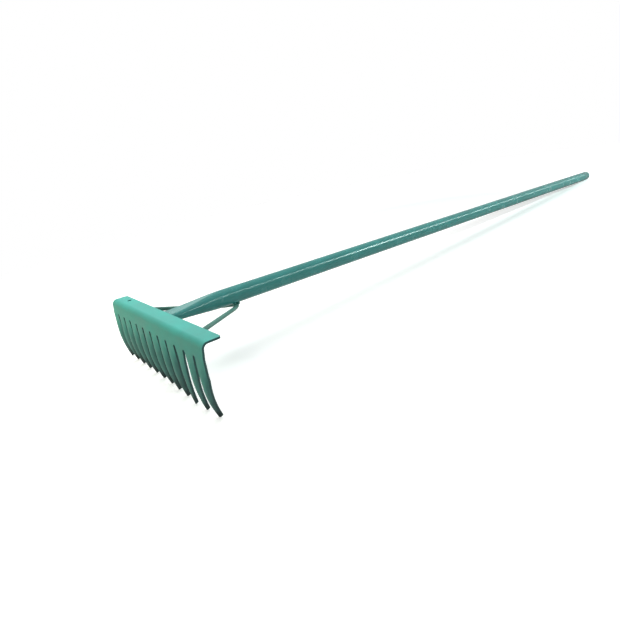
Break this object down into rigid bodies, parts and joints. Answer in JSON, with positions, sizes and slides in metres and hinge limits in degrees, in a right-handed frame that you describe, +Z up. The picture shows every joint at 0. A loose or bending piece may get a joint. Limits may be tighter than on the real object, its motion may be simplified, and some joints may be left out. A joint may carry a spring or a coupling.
{
  "type": "garden rake",
  "caption": "Rigid all-steel garden rake: pressed head with stiff curved tines, straight tube handle flattened at the neck, and a bent rod brace underneath.",
  "frame": {"origin": "middle of the bounding box in plan, on the ground that the tine tips and the handle's far end rest on", "axes": "+X along the head, +Y from the head towards the handle's far end, +Z up"},
  "size_m": [0.3048, 1.4042, 0.0918],
  "materials": {
    "head_enamel": "satin green enamel on pressed steel",
    "handle_enamel": "glossy green enamel on steel tube",
    "brace_enamel": "green enamel on steel rod",
    "weld_enamel": "green enamel over weld beads",
    "plug_enamel": "green enamel on a pressed steel plug"
  },
  "bodies": {
    "root": {"rake_head": "head_enamel", "handle_tube": "handle_enamel", "end_plug": "plug_enamel", "brace_rod": "brace_enamel", "weld_flange_rear": "weld_enamel", "weld_tongue_left": "weld_enamel", "weld_foot_left": "weld_enamel", "weld_tongue_right": "weld_enamel", "weld_foot_right": "weld_enamel", "weld_apex_front": "weld_enamel", "weld_apex_rear": "weld_enamel"}
  },
  "joints": []
}
